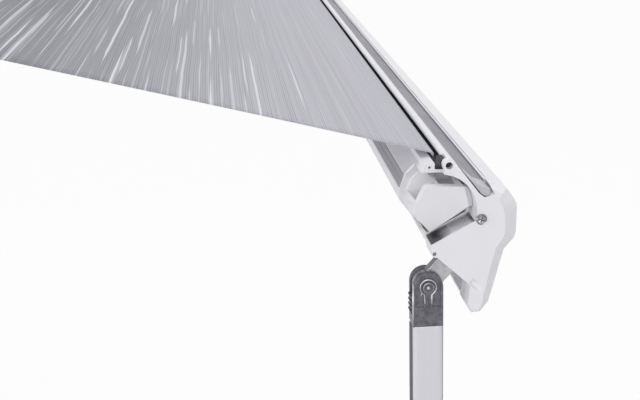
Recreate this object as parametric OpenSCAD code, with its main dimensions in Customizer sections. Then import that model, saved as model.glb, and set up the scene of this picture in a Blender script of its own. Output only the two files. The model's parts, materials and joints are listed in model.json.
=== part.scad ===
// Roll out awning for a caravan or camper, drawn open.
// Origin: middle of the wall bolt pattern. The wall is the plane y = 0 and the awning opens
// towards -Y. X runs along the front rail and +Z is up. All sizes in mm, angles in degrees.

/* [Awning] */
// length of the front rail over its end caps
rail_length = 3000; // [2960:10:4000]
// slope of the open fabric
pitch = 13.7; // [8:0.1:18]
// distance from the rail end to the side edge of the fabric
fabric_inset = 49; // [45:1:70]
// thickness of the fabric
fabric_t = 1; // [0.8:0.1:1.5]

/* [Arms] */
// pivot to pivot length of each arm half
arm_len = 880; // [700:5:900]
// sideways place of the shoulder and wrist pivots
arm_x = 940; // [930:5:1000]
// angle of each arm half to the rail when open
open_angle = 76; // [60:1:80]
// width of the arm tube
arm_w = 28; // [24:1:30]
// height of the arm tube
arm_h = 28; // [24:1:30]
// radius of the arm pivot pins
arm_pin_r = 5; // [4:0.25:6]
// running clearance of a moving bore on its pin
fit_gap = 0.05; // [0.02:0.01:0.1]

/* [Case] */
// outer radius of the roller tube
roller_r = 25; // [22:0.5:26]
// thickness of the wraps left on the open roller
wrap_t = 2; // [1.5:0.5:3]
// wall thickness of the case extrusion
case_wall = 2.5; // [2:0.1:3]
// radius of the wall bolt holes
wall_bolt_r = 3.5; // [2.5:0.25:5]
// sideways place of the outer wall brackets
bracket_x = 1200; // [1000:10:1250]

/* [Front rail] */
// wall thickness of the rail extrusion
rail_wall = 2.4; // [2:0.1:3]
// radius of the screw port on the ridge
port_r = 2.7; // [2:0.1:3]
// length of the port's ring
port_len = 8; // [6:0.5:10]
// length of a rail end cap
cap_len = 25; // [24:1:30]

/* [Legs] */
// width of the leg across the rail
leg_w = 23.5; // [23:0.5:26]
// thickness of the leg along the rail
leg_t = 20; // [20:0.5:22]
// length of the outer leg tube
outer_len = 1050; // [900:10:1060]
// height of the knuckle pivot over the ground
stand = 1700; // [1600:10:1720]
// outward lean of the standing leg
leg_lean = 1.4; // [0:0.1:2]
// radius of the knuckle and fold pins
leg_pin_r = 3.5; // [3:0.25:4]
// radius of the ground peg hole in the foot
peg_r = 3.2; // [2.5:0.1:3.5]

/* [Hidden] */
$fn = 48;
half = rail_length / 2;
fab_half = half - fabric_inset;
// fabric plane over the shoulder pivots, before the slope is applied
plane_y = -64;
plane_z = 52;
arm_drop = 78;
wrap_r = roller_r + wrap_t;
// bolt hole height over and under the origin
bolt_z = 80;

function spot(yl, zl) = [
  plane_y + yl * cos(pitch) - zl * sin(pitch),
  plane_z + yl * sin(pitch) + zl * cos(pitch)
];
shoulder = spot(0, -arm_drop);
roller = spot(14, -wrap_r);
reach = 2 * arm_len * sin(open_angle);
slot = spot(-reach - 34, 0);
// the rail's own zero point is the middle of its ridge
boss = slot - [2.6, -2.4];
elbow = [arm_len * cos(open_angle), -arm_len * sin(open_angle), 0];
// arm tube beside the pivot line
arm_off = arm_w / 2 + 2;
tube_from = 30;
eye_r = 13;
tongue_t = 10;
tongue_w = 20;

// corner of the leg channel, its slope, and the fold pin inside it
mouth = [10.2, -67.5];
mouth_a = 40.5;
leg_across = 17.5;
fold_up = 12.4;
neck_len = 36.5;
// half the length of the neck's barrel on the fold pin
barrel = 12;
fold_pin_len = 32;
leg_x = 16;
knuckle_h = 32;
collar_h = 34;
inner_w = leg_w - 4.6;
inner_t = leg_t - 4.6;
inner_short = 70;
inner_len = outer_len - inner_short;
foot_pivot_up = 15;
// slide of the inner leg from standing to stowed
collapse = stand - knuckle_h - outer_len - foot_pivot_up - 40;

// worm drive
teeth = 20;
gear_m = 1.5;
pitch_r = teeth * gear_m / 2;
worm_r = 7;
worm_ecc = 1.3;
worm_pitch = PI * gear_m;
worm_y = roller[0] - pitch_r - worm_r;
gear_x = half - 14;
axle_r = 7;
shaft_r = 4;

function unit(v) = v / norm(v);
function side_of(p, i) = let (d = unit(p[i + 1] - p[i])) [-d[1], d[0]];
function miter(a, b) = (a + b) / (1 + a * b);
function end_of(p) = len(p) - 1;
function side_at(p, i) =
  i == 0 ? side_of(p, 0) :
  i == end_of(p) ? side_of(p, i - 1) :
  miter(side_of(p, i - 1), side_of(p, i));
// outline of a wall of thickness t that follows a path
function wall(p, t) = concat(
  [for (i = [0 : end_of(p)]) p[i] + side_at(p, i) * t / 2],
  [for (i = [end_of(p) : -1 : 0]) p[i] - side_at(p, i) * t / 2]);
function arc(c, r, from, to, n) =
  [for (i = [0 : n]) c + r * [cos(from + (to - from) * i / n), sin(from + (to - from) * i / n)]];
// rectangle with rounded corners
function soft_box(w, h, r) = concat(
  arc([w / 2 - r, h / 2 - r], r, 0, 90, 4), arc([r - w / 2, h / 2 - r], r, 90, 180, 4),
  arc([r - w / 2, r - h / 2], r, 180, 270, 4), arc([w / 2 - r, r - h / 2], r, 270, 360, 4));
// outline moved inwards by t, for an outline that runs anticlockwise
function inset(p, t) = let (n = len(p)) [for (i = [0 : n - 1])
  let (a = unit(p[i] - p[(i + n - 1) % n]), b = unit(p[(i + 1) % n] - p[i]),
       na = [-a[1], a[0]], nb = [-b[1], b[0]]) p[i] + miter(na, nb) * t];

// a y, z outline drawn out along X
module along_x(x0, x1) {
  translate([x0, 0, 0]) rotate([90, 0, 90]) linear_extrude(x1 - x0) children();
}

function turn(a, b, c) = (b[0] - a[0]) * (c[1] - a[1]) - (b[1] - a[1]) * (c[0] - a[0]);
function in_corner(q, a, b, c) = turn(a, b, q) >= 0 && turn(b, c, q) >= 0 && turn(c, a, q) >= 0;
// true when the corner at place i of the list left can be cut off as one triangle
function is_free(p, left, i) = let (
    n = len(left), a = left[(i + n - 1) % n], b = left[i], c = left[(i + 1) % n])
  turn(p[a], p[b], p[c]) > 0 &&
  len([for (k = left) if (k != a && k != b && k != c && in_corner(p[k], p[a], p[b], p[c])) k]) == 0;
// cuts an outline that runs anticlockwise into triangles, one corner at a time
function triangles(p, left) = len(left) == 3 ? [left] : let (
    n = len(left), i = [for (k = [0 : n - 1]) if (is_free(p, left, k)) k][0])
  concat([[left[(i + n - 1) % n], left[i], left[(i + 1) % n]]],
    triangles(p, [for (k = [0 : n - 1]) if (k != i) left[k]]));

// a straight sided solid through y, z outlines that all have the same number of points
module loft(rings, at) {
  n = len(rings[0]);
  m = len(rings);
  order = [for (i = [0 : n - 1]) i];
  far = (m - 1) * n;
  polyhedron(
    [for (k = [0 : m - 1]) for (p = rings[k]) [at[k], p[0], p[1]]],
    concat(
      triangles(rings[0], order),
      [for (t = triangles(rings[m - 1], order)) [far + t[2], far + t[1], far + t[0]]],
      [for (k = [0 : m - 2]) for (i = [0 : n - 1]) [k * n + i, k * n + n + i, k * n + (i + 1) % n]],
      [for (k = [0 : m - 2]) for (i = [0 : n - 1])
        [k * n + (i + 1) % n, k * n + n + i, k * n + n + (i + 1) % n]]));
}

module rod_x(x0, x1, r) {
  translate([x0, 0, 0]) rotate([0, 90, 0]) cylinder(h = x1 - x0, r = r);
}

module both_ends() {
  children();
  mirror([1, 0, 0]) children();
}

module right_end() {
  mirror([1, 0, 0]) children();
}

module at_rail() {
  translate([0, boss[0], boss[1]]) children();
}

module at_roller() {
  translate([0, roller[0], roller[1]]) children();
}

module at_shoulder() {
  translate([-arm_x, shoulder[0], shoulder[1]]) rotate([pitch, 0, 0]) children();
}

module at_upper_arm() {
  at_shoulder() rotate([0, 0, -open_angle]) children();
}

module at_forearm() {
  at_shoulder() translate(elbow) rotate([0, 0, open_angle - 180]) children();
}

module at_wrist() {
  at_shoulder() translate([0, 2 * elbow[1], 0]) children();
}

module at_fabric() {
  translate([0, plane_y, plane_z]) rotate([pitch, 0, 0]) children();
}

// Wall fixing and case

outer_case = concat(
  [[-104.5, plane_z - 115.6], [-6, plane_z - 94]],
  arc([-18, plane_z], 12, 0, 90, 6),
  arc([-62, plane_z - 110], 122, 90, 110, 6));

module wall_brackets() {
  color("silver")
  for (x = [-bracket_x, 0, bracket_x])
    difference() {
      translate([x - 40, -6, -bolt_z - 12]) cube([80, 6, 2 * bolt_z + 24]);
      for (z = [-bolt_z, bolt_z])
        translate([x, 1, z]) rotate([90, 0, 0]) cylinder(h = 8, r = wall_bolt_r);
    }
}

case_ports = [[-52, plane_z - 98.5], [-13, plane_z + 2.5], [-12, plane_z - 46]];

module case_shell() {
  color("white")
  difference() {
    union() {
      along_x(-half + 26, half - 26) {
        difference() {
          polygon(outer_case);
          polygon(inset(outer_case, case_wall));
          translate([-108, plane_z - 107]) square([10, 103.2]);
        }
        for (p = case_ports) translate(p) circle(r = 3.8);
      }
    }
    for (p = case_ports)
      translate([0, p[0], p[1]]) rod_x(-half, half, 1.9);
  }
}

module case_end_cap() {
  difference() {
    union() {
      difference() {
        along_x(-half, -half + 26) polygon(outer_case);
        along_x(-half + 3, -half + 27) polygon(inset(outer_case, case_wall));
      }
      for (p = case_ports) translate([0, p[0], p[1]]) rod_x(-half + 2, -half + 26, 3.8);
    }
    for (p = case_ports) translate([0, p[0], p[1]]) rod_x(-half - 1, -half + 27, 2.2);
  }
}

module case_end_cap_left() {
  color("whitesmoke") {
    difference() {
      union() {
        case_end_cap();
        at_roller() rod_x(-half + 2, -half + 24, 13);
      }
      at_roller() rod_x(-half + 8, -half + 25, 10);
    }
  }
}

module case_end_cap_right() {
  color("whitesmoke")
  difference() {
    right_end() case_end_cap();
    translate([gear_x, worm_y, plane_z - 130]) cylinder(h = 40, r = shaft_r + 1);
  }
}

module case_end_screws() {
  color("gray")
  both_ends()
    for (p = case_ports)
      translate([0, p[0], p[1]]) {
        rod_x(-half - 2.2, -half, 3.6);
        rod_x(-half - 0.5, -half + 44, 1.9);
      }
}

module gearbox_housing() {
  color("dimgray")
  at_roller()
    difference() {
      translate([half - 27, -33, -22]) cube([24, 53, 44]);
      rod_x(half - 20, half, 18.5);
      translate([half - 23.4, -pitch_r - worm_r - 9.5, -17]) cube([24, 19, 34]);
      rod_x(half - 28, half - 19, axle_r + fit_gap);
      translate([gear_x, -pitch_r - worm_r, -24]) cylinder(h = 48, r = shaft_r + fit_gap);
    }
}

module roller_bush() {
  color("black")
  at_roller()
    difference() {
      rod_x(-half + 8, -half + 24, 10);
      rod_x(-half + 7, -half + 25, axle_r + fit_gap);
    }
}

module shoulder_brackets() {
  color("silver")
  both_ends()
    difference() {
      union() {
        at_shoulder()
          translate([0, 0, -tongue_t / 2]) linear_extrude(tongue_t) {
            circle(r = eye_r);
            translate([-tongue_w / 2, 0]) square([tongue_w, 33]);
          }
        translate([-arm_x - 30, -15, shoulder[1] - 16])
          cube([42, 6.5, 40]);
      }
      at_shoulder() translate([0, 0, -20]) cylinder(h = 40, r = arm_pin_r);
    }
}

// pin with a low head on each end
module arm_pin() {
  translate([0, 0, -arm_h / 2 - 0.3]) cylinder(h = arm_h + 0.6, r = arm_pin_r);
  for (s = [0, 1])
    mirror([0, 0, s]) translate([0, 0, arm_h / 2 + 0.3]) cylinder(h = 2, r = arm_pin_r + 2);
}

module shoulder_pins() {
  color("gray") both_ends() at_shoulder() arm_pin();
}

// Roller and its drive

roller_half = half - 46;

module roller_tube() {
  color("silver")
  at_roller()
    difference() {
      rod_x(-roller_half, roller_half, roller_r);
      rod_x(-roller_half - 1, roller_half + 1, roller_r - 2);
    }
}

module fabric_wrap() {
  color("gray")
  at_roller()
    difference() {
      rod_x(-fab_half, fab_half, wrap_r);
      rod_x(-fab_half - 1, fab_half + 1, roller_r);
    }
}

module roller_plug(end) {
  rod_x(-roller_half - 4, -roller_half, roller_r);
  rod_x(-roller_half, -roller_half + 40, roller_r - 2);
  rod_x(end, -roller_half, axle_r);
}

module roller_idler_plug() {
  color("black") at_roller() roller_plug(-half + 9);
}

module roller_drive_plug() {
  color("black") at_roller() right_end() roller_plug(-half + 6);
}

module worm_wheel() {
  color("goldenrod")
  at_roller()
    difference() {
      along_x(gear_x - 3, gear_x + 3)
        polygon([for (i = [0 : teeth - 1])
          let (a = 180 + 360 / teeth * i)
          each [
            13.2 * [cos(a - 5), sin(a - 5)], 15.7 * [cos(a - 1.6), sin(a - 1.6)],
            15.7 * [cos(a + 1.6), sin(a + 1.6)], 13.2 * [cos(a + 5), sin(a + 5)]
          ]]);
      rod_x(gear_x - 4, gear_x + 4, axle_r);
    }
}

module worm_shaft() {
  color("silver")
  translate([gear_x, worm_y, roller[1]]) {
    // the thread leaves a gap in front of the wheel tooth at mid height
    translate([0, 0, -13])
      rotate([0, 0, -90 - 360 * 13 / worm_pitch])
        linear_extrude(26, twist = -360 * 26 / worm_pitch, slices = 70, segments = 12)
          translate([worm_ecc, 0]) circle(r = worm_r, $fn = 12);
    translate([0, 0, -102]) cylinder(h = 124, r = shaft_r);
  }
}

module crank_eye() {
  color("silver")
  translate([gear_x, worm_y, roller[1] - 102]) {
    translate([0, 0, -4]) cylinder(h = 4, r = 7);
    translate([0, 0, -18]) rotate([0, 90, 0])
      rotate_extrude() translate([14, 0]) circle(r = 3.5, $fn = 20);
  }
}

// Fabric, open

// the sheet and the hem that drops into the rail's slot, as one outline
module fabric() {
  low = 0.05;
  top = low + fabric_t;
  front = -reach - 33.6;
  color("lightgray")
  at_fabric()
    along_x(-fab_half, fab_half)
      polygon([[14, low], [14, top], [front, top], [front, low], [front + 0.52, low],
        [front + 0.52, -3], [front + 1.32, -3], [front + 1.32, low]]);
}

// Folding arms: each half lies along x from one pivot to the other

module arm_tube() {
  color("white")
  translate([0, arm_off, 0])
    along_x(tube_from, arm_len - tube_from)
      difference() {
        polygon(soft_box(arm_w, arm_h, 4));
        polygon(soft_box(arm_w - 4, arm_h - 4, 2.5));
      }
}

// flat shape that joins the pivot eye to the tube beside it
module eye_shape(clear) {
  difference() {
    union() {
      circle(r = eye_r);
      polygon([[0, 1], [tube_from, 1], [tube_from, arm_off + arm_w / 2],
        [18, arm_off + arm_w / 2], [-5, 12]]);
    }
    if (clear > 0) circle(r = clear);
  }
}

module tube_spigot() {
  translate([0, arm_off, 0])
    along_x(tube_from - 1, tube_from + 26) polygon(soft_box(arm_w - 4, arm_h - 4, 2.5));
}

module fork_end() {
  color("gainsboro")
  difference() {
    union() {
      translate([0, 0, -arm_h / 2]) linear_extrude(arm_h) eye_shape(eye_r + 1);
      for (s = [0, 1])
        mirror([0, 0, s])
          translate([0, 0, tongue_t / 2 + 0.3])
            linear_extrude(arm_h / 2 - tongue_t / 2 - 0.3) eye_shape(0);
      tube_spigot();
    }
    translate([0, 0, -20]) cylinder(h = 40, r = arm_pin_r + fit_gap);
    // slot that lets the tongue swing right round to the tube
    translate([-20, -20, -tongue_t / 2 - 0.3])
      cube([20 + tongue_w / 2 + 1, 60, tongue_t + 0.6]);
  }
}

module tongue_end() {
  color("gainsboro")
  difference() {
    union() {
      translate([0, 0, -tongue_t / 2]) linear_extrude(tongue_t) eye_shape(0);
      translate([tube_from - 5, 2, -arm_h / 2]) cube([5, arm_w, arm_h]);
      tube_spigot();
    }
    translate([0, 0, -20]) cylinder(h = 40, r = arm_pin_r + fit_gap);
  }
}

// puts a fitting made for the first pivot on the second one
module far_pivot() {
  translate([arm_len, 0, 0]) mirror([1, 0, 0]) children();
}

module arm_spring() {
  color("dimgray")
  translate([0, arm_off, 0])
    difference() {
      rod_x(tube_from + 60, arm_len - 300, 9);
      rod_x(tube_from + 59, arm_len - 299, 6);
    }
}

module spring_anchor() {
  color("dimgray") translate([0, arm_off, 0]) rod_x(tube_from + 26, tube_from + 62, 6);
}

module upper_arm_left() { at_upper_arm() arm_tube(); }
module upper_arm_right() { right_end() at_upper_arm() arm_tube(); }
module shoulder_fork_left() { at_upper_arm() fork_end(); }
module shoulder_fork_right() { right_end() at_upper_arm() fork_end(); }
module elbow_fork_left() { at_upper_arm() far_pivot() fork_end(); }
module elbow_fork_right() { right_end() at_upper_arm() far_pivot() fork_end(); }
module spring_set() { arm_spring(); spring_anchor(); }
module arm_spring_left() { at_upper_arm() spring_set(); }
module arm_spring_right() { right_end() at_upper_arm() spring_set(); }
module elbow_pin_left() { color("gray") at_forearm() arm_pin(); }
module elbow_pin_right() { color("gray") right_end() at_forearm() arm_pin(); }
module forearm_left() { at_forearm() arm_tube(); }
module forearm_right() { right_end() at_forearm() arm_tube(); }
module elbow_tongue_left() { at_forearm() tongue_end(); }
module elbow_tongue_right() { right_end() at_forearm() tongue_end(); }
module wrist_fork_left() { at_forearm() far_pivot() fork_end(); }
module wrist_fork_right() { right_end() at_forearm() far_pivot() fork_end(); }

// Front rail, drawn about the middle of its ridge

cap_screw = [-25.4, -41.7];
fascia = [[-33, -17.2], [-45.8, -21.6], [-51.4, -29.4], [-53.3, -34.3], [-53.4, -54.2], [-52.1, -58.8],
  [-44.6, -68], [-41.3, -81.2], [-37, -98.4], [-34, -110], [-28.4, -117.6], [-22, -118.4]];
gutter = [[-2, -2.6], [-10, -6.2], [-24, -23.8], [-28.5, -26.8], [-34, -25], [-33, -17.2]];
inner_tube = [[-12, -9], [-2, -10], [14.2, -10.2], [23.2, -20.6], [27.3, -33], [27, -41],
  [11.6, -60.8], [-19, -44], [-25.5, -26]];

ridge_r = 2.8;
// solid edge between the fabric's slot and the tube, with a small hollow along it
slot_block = [[6.4, -10], [6.4, -4.4], [13.6, -5.6], [15, -10]];
block_hollow = [10.4, -7.4];

module rail_wall_along(path, t) {
  along_x(-half + cap_len, half - cap_len) polygon(wall(path, t));
}

// back of the rail: ridge, gutter, inner tube, the block beside the slot and the lower web
module rail_body() {
  translate([0, -2.2, 0]) rod_x(-half + cap_len, half - cap_len, ridge_r);
  rail_wall_along(gutter, rail_wall);
  rail_wall_along(inner_tube, rail_wall);
  rail_wall_along([[11.6, -60.8], [10.4, -66.6]], rail_wall);
  along_x(-half + cap_len, half - cap_len) polygon(slot_block);
}

module lead_rail() {
  color("white")
  at_rail()
    difference() {
      rail_body();
      translate([0, block_hollow[0], block_hollow[1]]) rod_x(-half, half, 1);
      // the inner tube stops short at both ends for its plug
      both_ends()
        along_x(-half, -half + 58)
          polygon([[3, -11.6], [40, -11.6], [40, -56.5], [16, -56.5], [3, -50]]);
    }
}

// front of the rail: nose, lower lip, and the shelf with the screw port behind it
module rail_fascia() {
  color("white")
  at_rail()
    difference() {
      union() {
        rail_wall_along(fascia, rail_wall);
        rail_wall_along([[-19.5, -44], [-53, -46.5]], rail_wall);
        translate([0, cap_screw[0], cap_screw[1]]) rod_x(-half + cap_len, half - cap_len, 4.6);
      }
      rail_body();
      translate([0, cap_screw[0], cap_screw[1]]) rod_x(-half, half, 2);
    }
}

cavity = arc([7.1, -35.6], 29.3, 195, 97, 8);
cap_upper = concat([[12.3, -61.5]], cavity, arc([0, 0], 4.6, -50, 215, 16),
  [[-10, -4.7], [-23.7, -22.1], [-28, -25.2], [-35, -22.5]]);
cap_nose = [[-32, -16], [-46.2, -20.4], [-52.4, -29], [-54.5, -34], [-54.6, -54.4], [-53.3, -59.4],
  [-45.8, -68.4], [-42.5, -81.2], [-38.2, -98.7], [-35.1, -110.6], [-29, -119], [-21.8, -119.6],
  [-16, -110]];
cap_nose_face = [[-34, -20.5], [-38.5, -27], [-41.8, -33.5], [-43.4, -38.5], [-44.2, -52], [-43, -56.5],
  [-37.6, -64.5], [-34, -79], [-30.5, -97], [-28.5, -108.5], [-26, -114.5], [-21.8, -115.5],
  [-17.5, -109]];

// place on the leg channel's mouth, y across it and z into the channel
function mouth_spot(y, z) =
  mouth + y * [cos(mouth_a), sin(mouth_a)] + z * [-sin(mouth_a), cos(mouth_a)];
pocket_low = -leg_across - barrel - 0.3;
pocket_high = -leg_across + barrel + 0.3;
// lower edge of the cap, shut at its face and open behind it for the folding neck of the leg
function cap_lower(open) = concat(
  [[-18.6, -94], mouth_spot(pocket_low, -1.39)],
  open ? [mouth_spot(pocket_low, 26), mouth_spot(pocket_high, 26)] :
    [mouth_spot(-22, -1.3), mouth_spot(-12, -1.2)],
  [mouth_spot(pocket_high, -1.04), [8.6, -71.4], [11, -70.6], [12, -66]]);
function cap_ring(share, open) = concat(
  cap_upper, cap_nose_face + share * (cap_nose - cap_nose_face), cap_lower(open));

module at_mouth() {
  at_rail() translate([0, mouth[0], mouth[1]]) rotate([mouth_a, 0, 0]) children();
}

module rail_end_cap() {
  color("white")
  difference() {
    at_rail()
      difference() {
        loft(
          [cap_ring(0, false), cap_ring(0.4, false), cap_ring(0.5, true), cap_ring(1, true),
            cap_ring(1, true)],
          [-half, -half + 3.6, -half + 4.5, -half + 9, -half + cap_len]);
        rod_x(-half - 1, -half + port_len - 1, port_r);
        translate([0, cap_screw[0], cap_screw[1]]) rod_x(-half - 1, -half + cap_len + 1, 2.2);
        // behind the port's ring the cap is cut back to the line of the ridge, beside the slot
        translate([-half + port_len, 0.9, -8]) cube([cap_len, 6, 14]);
        // drip hole at the corner and a thumb groove over the lip that runs out of the face
        translate([0, 9.3, -68.6]) rod_x(-half - 1, -half + 6, 1.6);
        translate([-half + 1.2, -19.6, -90.6]) rotate([137.6, 0, 0]) rotate([0, -18, 0])
          cylinder(h = 13, r = 2.6);
      }
    at_mouth()
      translate([-half + leg_x, -leg_across, fold_up]) rotate([90, 0, 0])
        cylinder(h = fold_pin_len + 0.6, r = leg_pin_r, center = true);
  }
}

module rail_end_cap_left() { rail_end_cap(); }
module rail_end_cap_right() { right_end() rail_end_cap(); }

plug_face = [[10.2, -56.2], [24.6, -41.4], [22.6, -34.8], [18.7, -27], [14.9, -19.6],
  [-15.4, -20.7], [-19.8, -36]];
plug_back = [[12.6, -57.3], [28, -41], [28.2, -33], [23.8, -20.8], [14, -11.9],
  [-8, -13], [-17.4, -41]];
// the part of the plug that sits inside the tube
plug_spigot = [for (p = plug_back) [6, -35] + 0.8 * (p - [6, -35])];

module tube_plug() {
  color("gainsboro")
  at_rail()
    difference() {
      loft([plug_face, plug_back, plug_spigot, plug_spigot],
        [-half + 16, -half + 57.8, -half + 57.8, -half + 74]);
      // two hollows between the face plate and the tube
      translate([-half + 21, 16, -36.5]) rotate([38, 0, 0]) cube([24, 14, 20]);
      translate([-half + 21, -9, -22]) cube([26, 13.1, 14.3]);
    }
}

module tube_plugs() { both_ends() tube_plug(); }

module rail_cap_screws() {
  color("gray")
  both_ends()
    at_rail()
      translate([0, cap_screw[0], cap_screw[1]])
        difference() {
          union() {
            rod_x(-half - 1.2, -half, 4.2);
            translate([-half - 2.4, 0, 0]) rotate([0, 90, 0]) cylinder(h = 1.2, r1 = 2.8, r2 = 4.2);
            rod_x(-half - 0.5, -half + 45, 2);
          }
          for (a = [20, 110])
            rotate([a, 0, 0]) translate([-half - 3, -0.6, -2.2]) cube([2, 1.2, 4.4]);
        }
}

module wrist_brackets() {
  color("silver")
  both_ends()
    difference() {
      union() {
        at_wrist()
          translate([0, 0, -tongue_t / 2]) linear_extrude(tongue_t) {
            circle(r = eye_r);
            translate([-tongue_w / 2, -34]) square([tongue_w, 34]);
          }
        // foot on the sloping wall of the inner tube, and the web down to the tongue
        at_rail() {
          along_x(-arm_x - 22, -arm_x + 22)
            polygon([[13.8, -59.9], [26.7, -43.4], [30.6, -46.5], [17.7, -63]]);
          along_x(-arm_x - 8, -arm_x + 8)
            polygon([[16.5, -60.5], [27.5, -46.4], [28.6, -72], [26, -79.5]]);
        }
      }
      at_wrist() translate([0, 0, -20]) cylinder(h = 40, r = arm_pin_r);
    }
}

module wrist_pins() {
  color("gray") both_ends() at_wrist() arm_pin();
}

module hem_rod() {
  color("black") at_rail() translate([0, 4.6, -7.1]) rod_x(-fab_half - 8, fab_half + 8, 1.75);
}

module gutter_strip() {
  color("darkgray")
  at_rail()
    along_x(-half + 1.5, half - 1.5)
      polygon([[-11.8, -6.2], [-25.2, -22.6], [-28.6, -24.5], [-32, -23.1],
        [-31.7, -18.8], [-22, -15.2]]);
}

// pins on which the legs fold out of their channel
module leg_fold_pins() {
  color("gray")
  both_ends()
    at_mouth()
      translate([-half + leg_x, -leg_across, fold_up]) rotate([90, 0, 0])
        cylinder(h = fold_pin_len, r = leg_pin_r, center = true);
}

// Legs: the left one stands, the right one is folded and pushed together in its channel

module at_neck(fold) {
  at_mouth() translate([-half + leg_x, -leg_across, fold_up]) rotate([0, -fold, 0]) children();
}

module at_leg(fold, swing) {
  at_neck(fold) translate([0, 0, -neck_len]) rotate([swing - mouth_a - leg_lean, 0, 0]) children();
}

module at_left_leg() { at_leg(0, 0) children(); }
module at_right_leg() { right_end() at_leg(90, mouth_a + leg_lean) children(); }

module neck() {
  color("silver")
  difference() {
    union() {
      rotate([90, 0, 0]) cylinder(h = 2 * barrel, r = 8.5, center = true);
      translate([-4.8, -8, -neck_len]) cube([9.6, 16, neck_len]);
      translate([-4.8, 0, -neck_len]) rotate([0, 90, 0]) cylinder(h = 9.6, r = 10.5);
    }
    rotate([90, 0, 0]) cylinder(h = 60, r = leg_pin_r + fit_gap, center = true);
    translate([0, 0, -neck_len]) rod_x(-20, 20, leg_pin_r);
  }
}

module leg_neck_left() { at_neck(0) neck(); }
module leg_neck_right() { right_end() at_neck(90) neck(); }

module swing_pin() {
  color("silver") {
    rod_x(-leg_t / 2 - 0.3, leg_t / 2 + 0.3, leg_pin_r);
    rod_x(-leg_t / 2 - 1.5, -leg_t / 2 - 0.3, leg_pin_r + 1);
    rod_x(leg_t / 2 + 0.3, leg_t / 2 + 1.5, leg_pin_r + 1);
  }
}

module leg_swing_pin_left() { at_neck(0) translate([0, 0, -neck_len]) swing_pin(); }
module leg_swing_pin_right() { right_end() at_neck(90) translate([0, 0, -neck_len]) swing_pin(); }

module knuckle() {
  color("dimgray")
  difference() {
    union() {
      along_x(-leg_t / 2, leg_t / 2) {
        circle(r = leg_w / 2);
        translate([-leg_w / 2, -knuckle_h]) square([leg_w, knuckle_h]);
      }
      translate([0, 0, -knuckle_h - 25])
        linear_extrude(26) polygon(soft_box(leg_t - 3.6, leg_w - 3.6, 2));
    }
    translate([-5.1, -leg_w, -11.5]) cube([10.2, 2 * leg_w, 40]);
    rod_x(-20, 20, leg_pin_r + fit_gap);
    // sunk panel round the raised keyhole on the outer face
    along_x(-leg_t / 2 - 1, -leg_t / 2 + 1)
      difference() {
        union() {
          circle(r = leg_w / 2 - 2);
          translate([-leg_w / 2 + 2, -16]) square([leg_w - 4, 16]);
        }
        circle(r = 6.9);
        translate([-3.2, -17]) square([6.4, 17]);
      }
  }
}

module leg_knuckle_left() { at_left_leg() knuckle(); }
module leg_knuckle_right() { at_right_leg() knuckle(); }

module outer_leg() {
  color("lightgray")
  translate([0, 0, -knuckle_h - outer_len])
    linear_extrude(outer_len)
      difference() {
        polygon(soft_box(leg_t, leg_w, 3));
        polygon(soft_box(leg_t - 3.6, leg_w - 3.6, 2));
      }
}

module leg_outer_left() { at_left_leg() outer_leg(); }
module leg_outer_right() { at_right_leg() outer_leg(); }

collar_z = -knuckle_h - outer_len;
lever_z = collar_z + 4;

module collar() {
  color("black")
  difference() {
    union() {
      translate([0, 0, collar_z - 12])
        linear_extrude(collar_h) polygon(soft_box(leg_t + 3, leg_w + 3, 3));
      // lugs that carry the clamp lever
      for (y = [-10, 6])
        translate([-leg_t / 2 - 5.5, y, lever_z - 3]) cube([5, 4, 6]);
    }
    translate([0, 0, collar_z]) linear_extrude(collar_h) polygon(soft_box(leg_t, leg_w, 3));
    translate([0, 0, collar_z - 13])
      linear_extrude(collar_h) polygon(soft_box(inner_t + 0.5, inner_w + 0.5, 2));
    translate([-leg_t / 2 - 3.8, 0, lever_z]) rotate([90, 0, 0])
      cylinder(h = 40, r = 1.2 + fit_gap, center = true);
  }
}

module leg_collar_left() { at_left_leg() collar(); }
module leg_collar_right() { at_right_leg() collar(); }

module lever() {
  color("dimgray")
  translate([-leg_t / 2 - 3.8, 0, lever_z]) {
    rotate([90, 0, 0]) cylinder(h = 20, r = 1.2, center = true);
    rotate([90, 0, 0]) cylinder(h = 11.4, r = 1.9, center = true);
    translate([-1.8, -5.7, 0]) cube([3, 11.4, 17]);
  }
}

module clamp_lever_left() { at_left_leg() lever(); }
module clamp_lever_right() { at_right_leg() lever(); }

inner_low = -stand + foot_pivot_up - 6;

module inner_leg() {
  color("silver")
  difference() {
    translate([0, 0, inner_low])
      linear_extrude(inner_len)
        difference() {
          polygon(soft_box(inner_t, inner_w, 2));
          polygon(soft_box(inner_t - 3, inner_w - 3, 1));
        }
    translate([0, 0, inner_low + 6]) rod_x(-20, 20, 2.5 + fit_gap);
  }
}

module leg_inner_left() { at_left_leg() inner_leg(); }
module leg_inner_right() { at_right_leg() translate([0, 0, collapse]) inner_leg(); }

// foot about its tilt axis, with one eye for a ground peg
module foot() {
  color("black")
  difference() {
    union() {
      translate([-leg_t / 2 - 1, -22.5, -foot_pivot_up]) cube([leg_t + 2, 33.5, 5]);
      for (s = [0, 1])
        mirror([s, 0, 0]) {
          translate([inner_t / 2 + 0.3, -7, -foot_pivot_up]) cube([2.6, 14, 17]);
          translate([inner_t / 2 + 0.3, 0, 0]) rod_x(0, 2.6, 7);
          rod_x(inner_t / 2 - 1.5, inner_t / 2 + 1, 2.5);
        }
    }
    translate([0, -17.5, -foot_pivot_up - 1]) cylinder(h = 7, r = peg_r);
  }
}

module leg_foot_left() {
  at_left_leg() translate([0, 0, inner_low + 6]) rotate([leg_lean, 0, 0]) foot();
}

module leg_foot_right() {
  at_right_leg() translate([0, 0, inner_low + 6 + collapse]) foot();
}

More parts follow.
